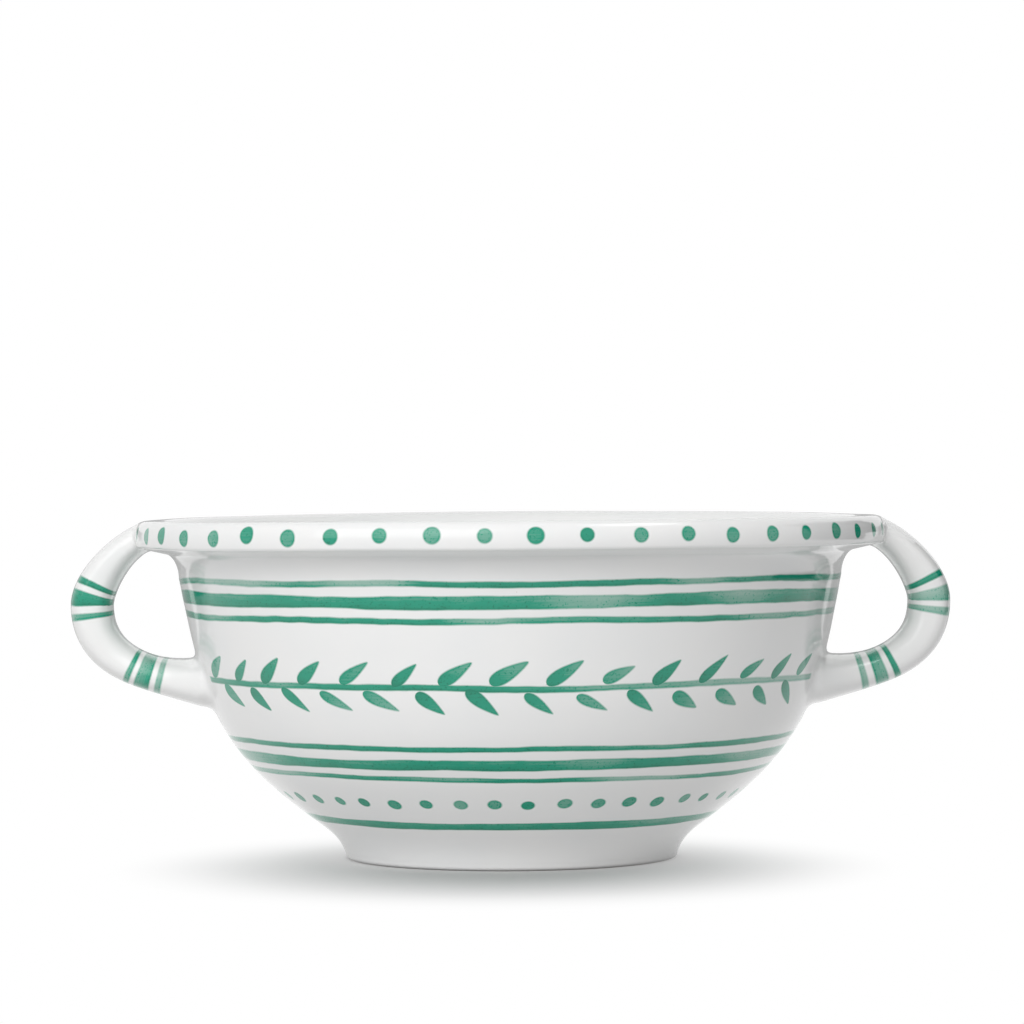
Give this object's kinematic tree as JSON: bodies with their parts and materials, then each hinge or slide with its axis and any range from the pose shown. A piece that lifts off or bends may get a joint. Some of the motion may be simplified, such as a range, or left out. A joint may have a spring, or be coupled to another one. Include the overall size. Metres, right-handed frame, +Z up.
{
  "type": "salad bowl",
  "caption": "Wide round glazed ceramic serving bowl with a rolled rim, a foot ring and strap handles on two sides, for tossing and serving salad.",
  "frame": {"origin": "on the bowl's axis, in the plane of the face that the foot ring stands on", "axes": "+Z up along the bowl's axis, +X towards the right handle, -Y towards the viewer of the picture"},
  "size_m": [0.3504, 0.3, 0.1365],
  "materials": {
    "white_glaze": "glossy white tin glaze with hand-painted copper-green bands and dots under the gloss",
    "foot_glaze": "glossy white tin glaze, wiped off the standing ring, which is bare fired clay",
    "raw_slip": "fired slip in the joints, covered by the glaze where it reaches the outside"
  },
  "bodies": {
    "root": {"bowl_body": "white_glaze", "foot_ring": "foot_glaze", "foot_slip": "raw_slip", "left_handle": "white_glaze", "right_handle": "white_glaze", "left_rim_slip": "raw_slip", "left_wall_slip": "raw_slip", "right_rim_slip": "raw_slip", "right_wall_slip": "raw_slip"}
  },
  "joints": []
}
